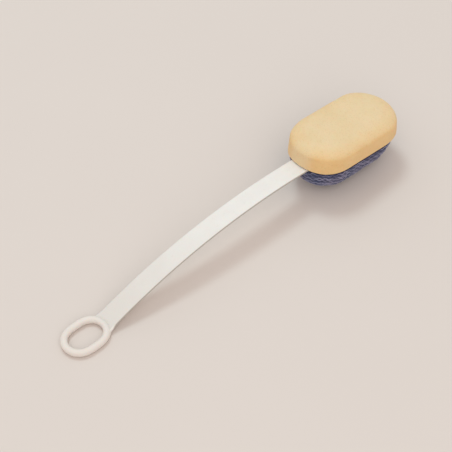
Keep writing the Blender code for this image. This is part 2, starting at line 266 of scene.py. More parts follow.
class Look:
    """A Principled material, with the nodes that give it its look. further holds sockets of the shader that
    are the same all over. Textures are laid over the piece in its own metres."""

    def __init__(self, name, roughness, **further):
        self.material = bpy.data.materials.new(name)
        self.material.use_nodes = True
        self.shader = self.material.node_tree.nodes["Principled BSDF"]
        self.shader.inputs["Roughness"].default_value = roughness
        for socket, value in further.items():
            self.shader.inputs[socket.replace("_", " ")].default_value = value
        self.place = self.node("ShaderNodeTexCoord", {}).outputs["Object"]

    def put(self, value, socket):
        if isinstance(value, bpy.types.NodeSocket):
            self.material.node_tree.links.new(value, socket)
        else:
            socket.default_value = value

    def node(self, kind, inputs, **settings):
        """Adds a node, sets its properties, and sets or links its inputs."""
        made = set_all(self.material.node_tree.nodes.new(kind), **settings)
        for name, value in inputs.items():
            self.put(value, made.inputs[name])
        return made

    def wear(self, colour, normal=None, roughness=None):
        """Links the finished look to the shader, and returns the material."""
        for name, value in (("Base Color", colour), ("Normal", normal), ("Roughness", roughness)):
            if value is not None:
                self.put(value, self.shader.inputs[name])
        return self.material

    def stretched(self, scale, turn=(0.0, 0.0, 0.0)):
        inputs = {"Vector": self.place, "Scale": scale, "Rotation": turn}
        return self.node("ShaderNodeMapping", inputs).outputs[0]

    def noise(self, scale, detail=2.0, roughness=0.5, place=None):
        place = self.place if place is None else place
        inputs = {"Vector": place, "Scale": scale, "Detail": detail, "Roughness": roughness}
        return self.node("ShaderNodeTexNoise", inputs).outputs[0]

    def cells(self, scale):
        return self.node("ShaderNodeTexVoronoi", {"Vector": self.place, "Scale": scale}).outputs["Distance"]

    def ramp(self, value, low, high, to_low=0.0, to_high=1.0):
        """Maps a value's range onto another, without going outside it."""
        inputs = {"Value": value, "From Min": low, "From Max": high, "To Min": to_low, "To Max": to_high}
        return self.node("ShaderNodeMapRange", inputs).outputs[0]

    def mixed(self, share, first, second):
        """A colour between two others, which are display values or come from another node."""
        first, second = (colour if isinstance(colour, bpy.types.NodeSocket) else linear(*colour)
                         for colour in (first, second))
        return self.node("ShaderNodeMix", {0: share, 6: first, 7: second}, data_type="RGBA").outputs[2]

    def attribute(self, name):
        return self.node("ShaderNodeAttribute", {}, attribute_name=name).outputs["Fac"]

    def calculated(self, operation, first, second=0.0):
        return self.node("ShaderNodeMath", {0: first, 1: second}, operation=operation).outputs[0]

    def bumped(self, height, distance, strength=1.0, normal=None):
        inputs = {"Height": height, "Distance": distance, "Strength": strength}
        if normal is not None:
            inputs["Normal"] = normal
        return self.node("ShaderNodeBump", inputs).outputs[0]


def plastic_material():
    """Warm white moulded plastic: satin, faintly mottled, with fine scratches along it and rubbed edges, and
    painted shade down its sides and towards the loop.
    """
    look = Look("white_plastic", 0.55, Subsurface_Weight=0.06, Subsurface_Scale=0.003,
                Specular_IOR_Level=0.32, IOR=1.49)
    mottle = look.noise(55.0, 3.0)
    flow = look.noise(1.0, 3.0, place=look.stretched((18.0, 120.0, 120.0)))
    base = look.mixed(look.ramp(mottle, 0.3, 0.7), (234, 231, 226), (231, 227, 222))
    base = look.mixed(look.ramp(flow, 0.45, 0.8, 0.0, 0.5), base, (236, 234, 229))
    # The first colour and the last are painted shade, on the strap towards the loop and on its sideways
    # faces. The second is a warmer white on the loop.
    for name, colour in (("painted_root_shade", (219, 213, 206)), ("loop_tint", (226, 214, 204)),
                         ("wear", (236, 232, 226)), ("flank", (178, 172, 163))):
        base = look.mixed(look.attribute(name), base, colour)
    grime = look.ramp(look.noise(320.0, 4.0, 0.65), 0.58, 0.78, 0.0, 0.35)
    base = look.mixed(grime, base, (214, 206, 193))

    scratches = look.noise(1.0, 2.0, 0.6, look.stretched((60.0, 2600.0, 2600.0)))
    gloss = look.calculated("ADD", look.ramp(mottle, 0.3, 0.7, 0.50, 0.60),
                            look.ramp(scratches, 0.55, 0.75, 0.0, 0.10))
    grain = look.bumped(look.noise(2400.0), 0.00003, 0.5)
    return look.wear(base, look.bumped(scratches, 0.00003, 0.6, grain), gloss)


def foam_material():
    """Cream-yellow polyurethane foam: open pores, deeper yellow down its sides and at its edges, partly its
    own colour and partly painted shade.
    """
    look = Look("sponge_foam", 0.95, Subsurface_Weight=0.12, Subsurface_Scale=0.002,
                Specular_IOR_Level=0.15, Sheen_Weight=0.15, Sheen_Roughness=0.6)
    clouds = look.ramp(look.noise(45.0, 4.0, 0.6), 0.3, 0.7)
    top = look.mixed(clouds, (231, 207, 167), (226, 201, 157))
    # The flank colour is partly the foam's own deeper yellow and partly painted shade with warm bounced
    # light.
    flank = look.mixed(clouds, (234, 198, 141), (227, 187, 130))
    base = look.mixed(look.attribute("side"), top, flank)
    # Pores and pits are darkened towards a deeper orange: painted shade in the hollows.
    pores = look.ramp(look.cells(1500.0), 0.0, 0.45, 1.0, 0.0)
    base = look.mixed(look.calculated("MULTIPLY", pores, 0.16), base, (200, 162, 106))
    pits = look.calculated("MULTIPLY", look.attribute("pits"), 0.3)
    base = look.mixed(pits, base, (200, 160, 104))
    fine = look.bumped(pores, 0.00018, -0.7)
    return look.wear(base, look.bumped(look.noise(700.0, 4.0, 0.65), 0.00025, 0.5, fine))


def core_material():
    """Grey-white reticulated foam, coarser than the sponge."""
    look = Look("core_foam", 0.95, Specular_IOR_Level=0.15)
    pores = look.ramp(look.cells(900.0), 0.0, 0.5, 1.0, 0.0)
    base = look.mixed(look.noise(60.0, 3.0), (226, 222, 210), (208, 202, 186))
    # The pores are darkened: painted shade inside them.
    base = look.mixed(look.calculated("MULTIPLY", pores, 0.5), base, (150, 142, 124))
    return look.wear(base, look.bumped(pores, 0.0003, -0.9))


# A wave texture whose scale is 1 has about this many bands to the metre.
BANDS_PER_METRE = 3.2
WEAVE_TURN = (0.35, 0.2, 0.78)


def cloth_material(name, pitch, dark, light, sheen=0.25):
    """Dull woven cloth: threads of that pitch, lighter where they rise. The weave is turned away from the
    three axes so that it shows on every side."""
    look = Look(name, 0.92, Sheen_Weight=sheen, Sheen_Roughness=0.5, Specular_IOR_Level=0.2)
    inputs = {"Vector": look.stretched((1.0, 1.0, 1.0), WEAVE_TURN), "Scale": 1.0 / pitch / BANDS_PER_METRE,
              "Distortion": 0.6, "Detail": 1.0, "Detail Scale": 3.0}
    threads = [look.node("ShaderNodeTexWave", inputs, bands_direction=axis).outputs["Fac"] for axis in "XY"]
    weave = look.calculated("MAXIMUM", *threads)
    patches = look.ramp(look.noise(130.0, 3.0, 0.6), 0.5, 0.8, 0.0, 0.45)
    # The weave's raised threads are lighter and its hollows darker: painted light and shade.
    base = look.mixed(look.ramp(weave, 0.2, 0.95), dark, light)
    fuzz = look.bumped(look.noise(4200.0), 0.00006, 0.5)
    return look.wear(look.mixed(patches, base, dark), look.bumped(weave, pitch * 0.3, 0.8, fuzz))


def net_material():
    """Knitted net yarn: slate blue to grey violet from yarn to yarn, with a twisted lay and a dry sheen."""
    look = Look("scrub_net", 0.62, Sheen_Weight=0.35, Sheen_Roughness=0.4, Specular_IOR_Level=0.3)
    patches = look.ramp(look.noise(42.0, 3.0, 0.6), 0.35, 0.65)
    blue = look.mixed(patches, (70, 80, 116), (92, 90, 122))
    pale = look.mixed(patches, (140, 142, 172), (164, 156, 182))
    base = look.mixed(look.attribute("tone"), blue, pale)
    ridge = look.ramp(look.calculated("SINE", look.attribute("lay")), -1.0, 1.0)
    # Darker in the grooves of the twisted lay: painted shade.
    base = look.mixed(look.ramp(ridge, 0.0, 0.5, 0.55, 0.0), base, (66, 68, 100))
    fuzz = look.bumped(look.noise(3800.0, 3.0), 0.00008, 0.5)
    return look.wear(base, look.bumped(ridge, 0.00022, 0.8, fuzz))


def glue_material():
    """Set contact adhesive: amber, glossy, with small bubbles."""
    look = Look("set_adhesive", 0.3, Coat_Weight=0.3)
    bubbles = look.cells(900.0)
    base = look.mixed(look.ramp(bubbles, 0.1, 0.6), (222, 200, 150), (199, 170, 112))
    gloss = look.ramp(look.noise(300.0), 0.0, 1.0, 0.2, 0.45)
    return look.wear(base, look.bumped(bubbles, 0.0001, 0.5), gloss)


# ---- camera, floor and light

CAMERA_TARGET = Vector((0.00244, 0.01564, 0.0))
CAMERA_AZIMUTH = math.radians(-42.15)
CAMERA_ELEVATION = math.radians(48.65)
CAMERA_DISTANCE = 1.2
CAMERA_LENS = 95.6


def direction(azimuth, elevation):
    """From the middle of the scene towards a camera or lamp. Azimuth 0 is on the -Y side."""
    flat = math.cos(elevation)
    return Vector((math.sin(azimuth) * flat, -math.cos(azimuth) * flat, math.sin(elevation)))


def aimed(name, data, azimuth, elevation, distance, target):
    """Puts a camera or lamp in the scene, that far from the target and turned towards it."""
    made = in_scene(name, data)
    back = direction(azimuth, elevation)
    made.location = target + back * distance
    made.rotation_euler = (-back).to_track_quat("-Z", "Y").to_euler()
    return made


def add_camera():
    data = set_all(bpy.data.cameras.new("camera"), lens=CAMERA_LENS, sensor_width=36.0, clip_end=20.0)
    bpy.context.scene.camera = aimed("camera", data, CAMERA_AZIMUTH, CAMERA_ELEVATION, CAMERA_DISTANCE,
                                     CAMERA_TARGET)


LIGHT_DISTANCE = 3.0
KEY_AZIMUTH = math.radians(165.0)
KEY_ELEVATION = math.radians(65.0)
KEY_SIZE = 0.85
KEY_POWER = 20.0
KEY_COLOUR = (0.78, 1.0, 1.06)
FILL_AZIMUTH = math.radians(-34.0)
FILL_ELEVATION = math.radians(44.0)
FILL_SIZE = 3.2
FILL_POWER = 25.0
FILL_COLOUR = (1.015, 0.95, 0.915)
SKY_STRENGTH = 0.735
SKY_COLOUR = (0.985, 0.946, 0.923, 1.0)
FLOOR_SIZE = 6.0
FLOOR_DEPTH = 0.0002


def add_light(name, azimuth, elevation, size, power, colour):
    data = set_all(bpy.data.lights.new(name, "AREA"), shape="DISK", size=size, energy=power, color=colour)
    aimed(name, data, azimuth, elevation, LIGHT_DISTANCE, Vector())


def add_lights():
    """A soft key from behind, a broad fill from the front, and an even pale sky."""
    add_light("key_light", KEY_AZIMUTH, KEY_ELEVATION, KEY_SIZE, KEY_POWER, KEY_COLOUR)
    add_light("fill_light", FILL_AZIMUTH, FILL_ELEVATION, FILL_SIZE, FILL_POWER, FILL_COLOUR)
    world = bpy.data.worlds.new("studio")
    bpy.context.scene.world = world
    world.use_nodes = True
    sky = world.node_tree.nodes["Background"]
    sky.inputs["Color"].default_value = SKY_COLOUR
    sky.inputs["Strength"].default_value = SKY_STRENGTH


def add_floor():
    half = FLOOR_SIZE / 2.0
    corners = [(x, y, -FLOOR_DEPTH) for x, y in ((-half, -half), (half, -half), (half, half), (-half, half))]
    look = Look("pale_floor", 0.9, Specular_IOR_Level=0.1)
    base = look.mixed(look.noise(6.0), (219, 209, 202), (221, 211, 204))
    floor = new_piece("floor", mesh_of("floor", corners, [(0, 1, 2, 3)]), look.wear(base))


# ---- the handle

LOOP_BAR_SIDES = 8
LOOP_END_STEPS = 8
STRAP_ROOT_PLACES = range(3, 6)
STRAP_SIDES = 12
RIM_INSET = 0.00055
INNER_INSET = 0.0022
EDGE_SWELL = 0.00018
# Half of the root's section, from the strap's top at -Y: how far across, and 1 on top or 0 at the edge.
ROOT_SECTION = ((-0.0115, 1.0), (-0.0080, 1.0), (0.0, 1.0), (0.0080, 1.0), (0.0115, 1.0), (0.0122, 0.0))
ROOTS = ((0.0001, 0.72), (0.0012, 1.0))
FIRST_SECTION = 0.0068
SECTION_STEP = 0.0050
STRAP_SECTIONS = 51
NECK_SECTIONS = (0.0310, 0.0258, 0.0225, 0.0198, 0.0174, 0.0146, 0.0112, 0.0062, 0.0)
PADDLE_SECTIONS = 5
PADDLE_END_ANGLES = (15, 30, 45, 58, 70, 79, 85)
# The plastic's looks change along the handle, from here at the strap's root, and across its edges. The
# darker strap towards the loop and its darker sideways faces are painted shade.
ROOT_X = LOOP_CENTRE_X + LOOP_END_RADIUS + LOOP_BAR_RADIUS
WORN_EDGE = 0.0009
EDGE_FADE = 0.0007
FLANK_START = 0.0040
FLANK_FADE = 0.0060
LOOP_FADE = 0.0030
ROOT_SHADE_REACH = 0.20
ROOT_SHADE_SHARE = 0.85
LOOP_TINT_SHARE = 0.6


def rounding(sides):
    """How much larger a subdivision cage of a circle has to be than the circle."""
    return 3.0 / (2.0 + math.cos(math.tau / sides))


def loop_places():
    """Points of the loop's middle line with their outward directions, from the corner at -Y by the strap."""
    radius = LOOP_END_RADIUS * rounding(2 * LOOP_END_STEPS)
    places = []
    for side in (1.0, -1.0):
        for i in range(LOOP_END_STEPS + 1):
            angle = math.radians(180.0 * i / LOOP_END_STEPS - 90.0)
            out = (side * math.cos(angle), side * math.sin(angle))
            places.append((side * LOOP_HALF_STRAIGHT + radius * out[0], radius * out[1], out))
        places.append((0.0, side * radius, (0.0, side)))
    return places


def paddle_half_width(length):
    """Half the width of the strap and paddle, by distance along them."""
    neck_up = STRAP_HALF_WIDTH + PADDLE_NECK_RADIUS
    neck_back = math.sqrt((PADDLE_RADIUS + PADDLE_NECK_RADIUS) ** 2 - neck_up**2)
    neck = PADDLE_NEAR - neck_back
    touch = PADDLE_NEAR - PADDLE_RADIUS * neck_back / (PADDLE_RADIUS + PADDLE_NECK_RADIUS)
    if length <= neck:
        return STRAP_HALF_WIDTH
    if length <= touch:
        return neck_up - math.sqrt(PADDLE_NECK_RADIUS**2 - (length - neck) ** 2)
    beyond = max(PADDLE_NEAR - length, length - PADDLE_FAR, 0.0)
    return math.sqrt(max(PADDLE_RADIUS**2 - beyond**2, 0.0))


def section_places(length):
    """The strap's twelve-point section: (distance along, across, height), round from its top at -Y."""
    half = paddle_half_width(length)
    rim, inner = half - min(RIM_INSET, 0.2 * half), half - min(INNER_INSET, 0.5 * half)
    side = [(across, STRAP_HALF_THICKNESS) for across in (-rim, -inner, 0.0, inner, rim)]
    side.append((half + EDGE_SWELL, 0.0))
    return [(length, way * across, way * height) for way in (1.0, -1.0) for across, height in side]


def root_section(beyond, thickness):
    """A section of the strap's root, that far outside the loop's bar, which it follows round, and that
    share as thick as the strap."""
    reach = LOOP_END_RADIUS + LOOP_BAR_RADIUS + beyond
    return [(math.sqrt(reach**2 - across**2) - LOOP_END_RADIUS, way * across,
             way * height * STRAP_HALF_THICKNESS * thickness)
            for way in (1.0, -1.0) for across, height in ROOT_SECTION]


def section_lengths():
    """Where the strap and paddle have a section: evenly along the strap, closer round the paddle's ends."""
    lengths = [FIRST_SECTION + SECTION_STEP * i for i in range(STRAP_SECTIONS)]
    lengths += [PADDLE_NEAR - back for back in NECK_SECTIONS]
    lengths += [*np.linspace(PADDLE_NEAR, PADDLE_FAR, PADDLE_SECTIONS + 1)[1:]]
    return lengths + [PADDLE_FAR + PADDLE_RADIUS * math.sin(math.radians(a)) for a in PADDLE_END_ANGLES]


def handle_cage():
    """The subdivision cage: a ring for the loop, with a hole in its side that the strap grows out of."""
    shape = bmesh.new()
    bar = LOOP_BAR_RADIUS * rounding(LOOP_BAR_SIDES)
    first, last = STRAP_ROOT_PLACES.start - 1, STRAP_ROOT_PLACES.stop
    columns = []
    for index, (x, y, out) in enumerate(loop_places()):
        column = []
        for k in range(LOOP_BAR_SIDES):
            if k == 0 and index in STRAP_ROOT_PLACES:
                column.append(None)
                continue
            angle = math.tau * k / LOOP_BAR_SIDES
            away, up = bar * math.cos(angle), bar * math.sin(angle)
            place = (LOOP_CENTRE_X + x + out[0] * away, y + out[1] * away, LOOP_BAR_RADIUS + up)
            column.append(shape.verts.new(place))
        columns.append(column)
    for index, column in enumerate(columns):
        following = columns[(index + 1) % len(columns)]
        for k in range(LOOP_BAR_SIDES):
            if first <= index < last and k in (0, LOOP_BAR_SIDES - 1):
                continue
            above = (k + 1) % LOOP_BAR_SIDES
            shape.faces.new((column[k], following[k], following[above], column[above]))

    # The hole's edge, in the order of a section's points.
    ring = [column[1] for column in columns[first:last + 1]] + [columns[last][0]]
    ring += [column[-1] for column in reversed(columns[first:last + 1])] + [columns[first][0]]
    sections = [root_section(*root) for root in ROOTS]
    for section in sections + [section_places(length) for length in section_lengths()]:
        following = []
        for along, across, height in section:
            x, z = on_arch(along, height)
            following.append(shape.verts.new((x, across, z)))
        for i in range(STRAP_SIDES):
            j = (i + 1) % STRAP_SIDES
            shape.faces.new((ring[i], ring[j], following[j], following[i]))
        ring = following
    # The paddle's far end is closed with four quads and two triangles.
    for i in range(4):
        shape.faces.new((ring[i], ring[i + 1], ring[9 - i], ring[10 - i]))
    shape.faces.new((ring[4], ring[5], ring[6]))
    shape.faces.new((ring[10], ring[11], ring[0]))
    bmesh.ops.recalc_face_normals(shape, faces=shape.faces)
    return made_mesh("handle", shape)


def cut_paddle_holes(handle):
    middle = -SEAM_ABOVE_STRAP - STRAP_HALF_THICKNESS
    shape = bmesh.new()
    apart, abreast = PADDLE_HOLE_SPACING
    for x in (-apart, 0.0, apart):
        for y in (-abreast / 2.0, abreast / 2.0):
            place = Matrix.Translation((x, y, middle))
            bmesh.ops.create_cone(shape, cap_ends=True, segments=48, radius1=PADDLE_HOLE_RADIUS,
                                  radius2=PADDLE_HOLE_RADIUS, depth=PADDLE_HOLE_DEPTH,
                                  matrix=HEAD @ place)
    cutter = in_scene("paddle_holes", made_mesh("paddle_holes", shape))
    set_all(handle.modifiers.new("Holes", "BOOLEAN"), operation="DIFFERENCE", solver="EXACT", object=cutter)
    apply_modifiers(handle)
    bpy.data.objects.remove(cutter)


def build_handle():
    handle = new_piece("moulded_handle", handle_cage(), plastic_material())
    set_all(handle.modifiers.new("Subdivision", "SUBSURF"), levels=2, render_levels=2)
    cut_paddle_holes(handle)
    mesh = handle.data
    points, normals = surface_of(mesh)
    past_root = points[:, 0] - ROOT_X
    at_edge = smooth_step((np.abs(points[:, 1]) - STRAP_HALF_WIDTH + WORN_EDGE) / EDGE_FADE)
    rubbed = 0.5 + noise_at(points, 70.0)
    set_attribute(mesh, "wear", np.clip(at_edge * (past_root > 0.0) * rubbed, 0.0, 1.0))
    # Faces that turn sideways by the strap's edges are darkened: painted shade.
    facing = smooth_step((np.abs(normals[:, 1]) - 0.55) / 0.3)
    on_strap = smooth_step((past_root - FLANK_START) / FLANK_FADE)
    set_attribute(mesh, "flank", facing * at_edge * on_strap)
    off_loop = smooth_step(past_root / LOOP_FADE)
    # Painted shade, darkest just past the loop and fading along the strap.
    toward_root = 1.0 - smooth_step((past_root + LOOP_BAR_RADIUS) / ROOT_SHADE_REACH)
    set_attribute(mesh, "painted_root_shade", ROOT_SHADE_SHARE * toward_root * off_loop)
    # The loop is a warmer, slightly darker white.
    set_attribute(mesh, "loop_tint", LOOP_TINT_SHARE * (1.0 - off_loop))
    mesh.set_sharp_from_angle(angle=math.radians(50.0))
    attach(handle, "root")
    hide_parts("handle")


# ---- the sponge

SPONGE_THICKNESS = 0.0222
SPONGE_STANDS_UP = 0.0022
SPONGE_TOP_ROUNDING = (0.0150, 0.0085)
SPONGE_BOTTOM_ROUNDING = 0.0010
SPONGE_CROWN = 0.0008
SPONGE_VOXEL = 0.0006
# The foam isn't quite true. Each of these is a direction round it in degrees, how wide, how far out, and up
# to what height.
LEANS = ((-132.0, 32.0, 0.0016, 0.0170), (-45.0, 27.0, 0.0024, 0.0260), (104.0, 22.0, -0.0018, 0.0600),
         (156.0, 18.0, 0.0015, 0.0300))
FOAM_SWAY = 0.00035
FOAM_RIPPLE = 0.00006
PIT_DEPTH = 0.00030
PIT_SPACING = 0.0021
PIT_REACH = 0.42
PIT_SEED = 3.7
# Profiles start and end this far from their axis, so that no points meet on it.
AXIS_GAP = 0.0004


def full_turn(count):
    """That many points (x, y) round a circle of radius 1."""
    turns = math.tau * (np.arange(count) / count)
    return np.stack([np.cos(turns), np.sin(turns)], 1)


def arc(centre, radius, start, end, steps):
    """Points (x, y) of a circle's arc from one angle in degrees to another."""
    angles = np.radians(np.linspace(start, end, steps + 1))
    return np.stack([centre[0] + radius * np.cos(angles), centre[1] + radius * np.sin(angles)], 1)


def turned_oval(name, profile, around=192, straight_at_axis=1.0):
    """A profile of (radius, height) rows, turned and pulled apart along X, and closed at both ends. The
    oval's straight part is that share as long on the axis as it is at the widest."""
    angles = math.tau * (np.arange(around) + 0.5) / around
    share = straight_at_axis + (1.0 - straight_at_axis) * profile[:, 0] / profile[:, 0].max()
    x = profile[:, :1] * np.cos(angles) + np.sign(np.cos(angles)) * HEAD_HALF_STRAIGHT * share[:, None]
    y = profile[:, :1] * np.sin(angles)
    z = np.repeat(profile[:, 1:], around, 1)
    points = np.stack([x, y, z], 2).reshape(-1, 3)
    last = (len(profile) - 1) * around
    faces = [face for i in range(0, last, around) for face in ring_faces(i, i + around, around)]
    faces += [tuple(range(around)), tuple(reversed(range(last, last + around)))]
    return mesh_of(name, from_head(points), faces)


def sponge_profile():
    """The sponge's section from axis to axis: a low crown, a soft shoulder and a straight side."""
    top, low = SPONGE_THICKNESS + SPONGE_STANDS_UP - SPONGE_CROWN, SPONGE_BOTTOM_ROUNDING
    across, down = SPONGE_TOP_ROUNDING
    inner = HEAD_RADIUS - across
    shares = np.linspace(0.0, 1.0, 8)[:-1]
    crown = np.stack([inner * shares, top + SPONGE_CROWN * (1.0 - shares**2)], 1)
    crown[0, 0] = AXIS_GAP
    turn = arc((0.0, 0.0), 1.0, 90.0, 0.0, 20)
    shoulder = turn * (across, down) + (inner, top - down)
    lower = arc((HEAD_RADIUS - low, low), low, 0.0, -90.0, 6)
    return np.vstack([crown, shoulder, lower, [(AXIS_GAP, 0.0)]])


def remesh(item, size, smoothing):
    set_all(item.modifiers.new("Remesh", "REMESH"), mode="VOXEL", voxel_size=size, use_smooth_shade=True)
    if smoothing:
        set_all(item.modifiers.new("Relax", "SMOOTH"), factor=0.5, iterations=smoothing)
    apply_modifiers(item)


def foam_pits(points):
    """How deep in a pore each point is, from 0 to 1. Pores are at random places."""
    seed = Vector((PIT_SEED, 0.0, 0.0))
    nearest = np.array([noise.voronoi(Vector(point) / PIT_SPACING + seed)[0][0] for point in points])
    return smooth_step(1.0 - nearest / PIT_REACH)


def build_sponge():
    sponge = new_piece("foam_sponge", turned_oval("foam_sponge", sponge_profile()), foam_material())
    remesh(sponge, SPONGE_VOXEL, 3)
    mesh = sponge.data
    points, normals = surface_of(mesh)
    local = to_head(points)
    pits = foam_pits(points)
    shown = smooth_step((local[:, 2] - 0.0003) / 0.0012)
    beyond = local[:, 0] - np.clip(local[:, 0], -HEAD_HALF_STRAIGHT, HEAD_HALF_STRAIGHT)
    out = np.hypot(beyond, local[:, 1]) / HEAD_RADIUS
    angle = np.arctan2(local[:, 1], beyond)
    leaning = np.zeros(len(points))
    for towards, width, distance, height in LEANS:
        turned = (np.degrees(angle) - towards + 180.0) % 360.0 - 180.0
        leaning += distance * np.exp(-((turned / width) ** 2)) * (1.0 - smooth_step(local[:, 2] / height))
    leaning *= smooth_step((out - 0.6) / 0.35)
    level = np.stack([np.cos(angle), np.sin(angle), np.zeros(len(points))], 1) @ HEAD_TURN.T
    outward = FOAM_SWAY * noise_at(points, 42.0) + FOAM_RIPPLE * noise_at(points, 260.0) - PIT_DEPTH * pits
    set_points(mesh, points + normals * (outward * shown)[:, None] + level * leaning[:, None])
    # The pits' depth also darkens the foam's colour there: painted shade.
    set_attribute(mesh, "pits", pits * shown)

    # Yellower down the sides and a little at the edge of the top, partly the foam's own colour and partly
    # painted shade, and paler again by the strap, which is painted light.
    turned = smooth_step((0.95 - normals @ HEAD_TURN[:, 2]) / 0.70)
    side = turned + (1.0 - turned) * 0.42 * smooth_step((out - 0.45) / 0.5)
    painted_light_by_strap = smooth_step((np.abs(np.degrees(angle)) - 149.0) / 22.0)
    set_attribute(mesh, "side", side * (1.0 - 0.8 * painted_light_by_strap))
    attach(sponge, "root")
    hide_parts("sponge_pad")


# ---- the pad's shape

# The net and the lining are drawn in under the tape that binds them, and at the strap's mouth.
DRAWN_HEIGHT = 0.0022
DRAWN_IN = 0.0008
SEWN_TOP = -0.0012
MOUTH_DRAW = 0.0024
MOUTH_DRAW_WIDTH = 0.0200
MOUTH_DRAW_HEIGHT = 0.0200
SLOPE_SPAN = 0.0006


def drawn_at_mouth(local):
    """Points of the head's frame, with the pad's end drawn in where its cover is sewn beside the strap."""
    near = np.exp(-((local[..., 1] / MOUTH_DRAW_WIDTH) ** 2)) * (local[..., 0] < 0.0)
    high = smooth_step((local[..., 2] + MOUTH_DRAW_HEIGHT) / MOUTH_DRAW_HEIGHT)
    moved = local.copy()
    moved[..., 0] += MOUTH_DRAW * near * high
    return moved


class Bowl:
    """The netted half's outside, inset all round. A place on it is given on the flat cloth that covers it:
    by how far along the spine under the head, and how far from it, round the curve of the bowl."""

    def __init__(self, inset, top=PAD_TOP, drawn=0.0):
        self.radius = PAD_RADIUS - inset
        self.floor = inset
        turn = np.linspace(np.pi / 2.0, 0.0, 721)
        radii = self.radius * np.cos(turn) ** (2.0 / PAD_ROUNDNESS)
        heights = (inset - PAD_DEPTH) * np.sin(turn) ** (2.0 / PAD_ROUNDNESS)
        kept = heights <= top
        self.heights = heights[kept]
        near_rim = smooth_step((self.heights - PAD_TOP + DRAWN_HEIGHT) / DRAWN_HEIGHT)
        self.radii = radii[kept] - drawn * near_rim
        steps = np.hypot(np.diff(self.radii), np.diff(self.heights))
        self.lengths = np.concatenate([[0.0], np.cumsum(steps)])
        self.rim = self.lengths[-1]
        self.half_spine = HEAD_HALF_STRAIGHT * (1.0 + PAD_STRAIGHT_AT_BOTTOM) / 2.0

    def polar(self, along, across):
        """The nearest place on the spine, and how far and which way from there, for places on the cloth."""
        spine = np.clip(along, -self.half_spine, self.half_spine)
        return spine, np.hypot(along - spine, across), np.arctan2(across, along - spine)

    def section(self, reach):
        """Radius, height and outward direction in the bowl's section, that far along it from the bottom."""
        reach = np.clip(reach, 0.0, self.rim)
        here, ahead, behind = ([np.interp(reach + step, self.lengths, rows)
                                for rows in (self.radii, self.heights)]
                               for step in (0.0, SLOPE_SPAN, -SLOPE_SPAN))
        run, rise = np.subtract(ahead, behind)
        size = np.maximum(np.hypot(run, rise), 1e-12)
        return *here, rise / size, -run / size

    def place(self, along, across):
        """Points of the row frame and outward normals, for places on the flat cloth."""
        spine, reach, angle = self.polar(along, across)
        radius, height, out, down = self.section(reach)
        share = PAD_STRAIGHT_AT_BOTTOM + (1.0 - PAD_STRAIGHT_AT_BOTTOM) * radius / self.radius
        middle = spine / self.half_spine * HEAD_HALF_STRAIGHT * share
        points = np.stack([middle + radius * np.cos(angle), radius * np.sin(angle), height], -1)
        normals = np.stack([out * np.cos(angle), out * np.sin(angle), down], -1)
        points, normals = from_head(drawn_at_mouth(points)), normals @ HEAD_TURN.T
        pressed = points[..., 2] < self.floor
        points[..., 2] = np.maximum(points[..., 2], self.floor)
        normals[pressed] = (0.0, 0.0, -1.0)
        return points, normals


# ---- the stuffed pad's creases

FORM_GRID = 0.0035
FORM_FRAMES = 24
# A shrink below 0 makes the bag larger than the pad, by that share.
FORM_CLOTH = {"quality": 6, "mass": 0.15, "tension_stiffness": 20.0, "compression_stiffness": 20.0,
              "shear_stiffness": 8.0, "bending_stiffness": 0.05, "shrink_min": -0.02,
              "use_pressure": True, "uniform_pressure_force": 2.5, "vertex_group_mass": "held"}
FORM_LIMIT = 0.0008
FORM_AROUND = 128
HELD_DEPTH = 0.009
HELD_FADE = 0.005
CREASE_NEAREST = 5
CREASE_BLUR = 0.0006


def bowl_profile(bowl, top):
    """The bowl's section with a flat top, as rows of (radius, height) from axis to axis."""
    radii, heights = bowl.section(np.linspace(0.0, bowl.rim, 48)[1:])[:2]
    wall = np.stack([radii, heights], 1)[::-1]
    return np.vstack([[(AXIS_GAP, top), (radii[-1], top)], wall, [(AXIS_GAP, heights[0])]])


def press_on_floor(points, least):
    points[:, 2] = np.maximum(points[:, 2], least)
    return points


def stuffed_form():
    """A cloth bag cut a little larger than the pad, sewn down round its rim and blown up: a tree of the
    plain shape's points, and how far each has moved outward from it."""
    profile = bowl_profile(Bowl(0.0), 0.0)
    form = new_piece("form", turned_oval("form", profile, FORM_AROUND, PAD_STRAIGHT_AT_BOTTOM), None)
    set_points(form.data, press_on_floor(surface_of(form.data)[0], 0.0))
    remesh(form, FORM_GRID, 0)
    rest, outward = surface_of(form.data)
    moved = np.zeros(len(rest))
    held = form.vertex_groups.new(name="held")
    for index, height in enumerate(to_head(rest)[:, 2]):
        held.add([index], float(smooth_step((height + HELD_DEPTH) / HELD_FADE)), "REPLACE")
    cloth = form.modifiers.new("Cloth", "CLOTH")
    set_all(cloth.settings, **FORM_CLOTH)
    cloth.settings.effector_weights.gravity = 0.0
    cloth.point_cache.frame_end = FORM_FRAMES
    for number in range(1, FORM_FRAMES + 1):
        bpy.context.scene.frame_set(number)
    apply_modifiers(form)
    moved = ((surface_of(form.data)[0] - rest) * outward).sum(1)
    moved = FORM_LIMIT * np.tanh(moved / FORM_LIMIT)
    bpy.context.scene.frame_set(1)
    bpy.data.objects.remove(form)
    return tree_of(rest), moved


def creases(form, points):
    """How far the stuffed pad stands out from its plain shape at these points."""
    tree, moved = form
    heights = np.zeros(len(points))
    if not moved.any():
        return heights
    for row, point in enumerate(points):
        near = tree.find_n(point, CREASE_NEAREST)
        shares = [1.0 / (distance + CREASE_BLUR) ** 2 for _, _, distance in near]
        total = sum(share * moved[index] for share, (_, index, _) in zip(shares, near))
        heights[row] = total / sum(shares)
    return heights


# ---- the net

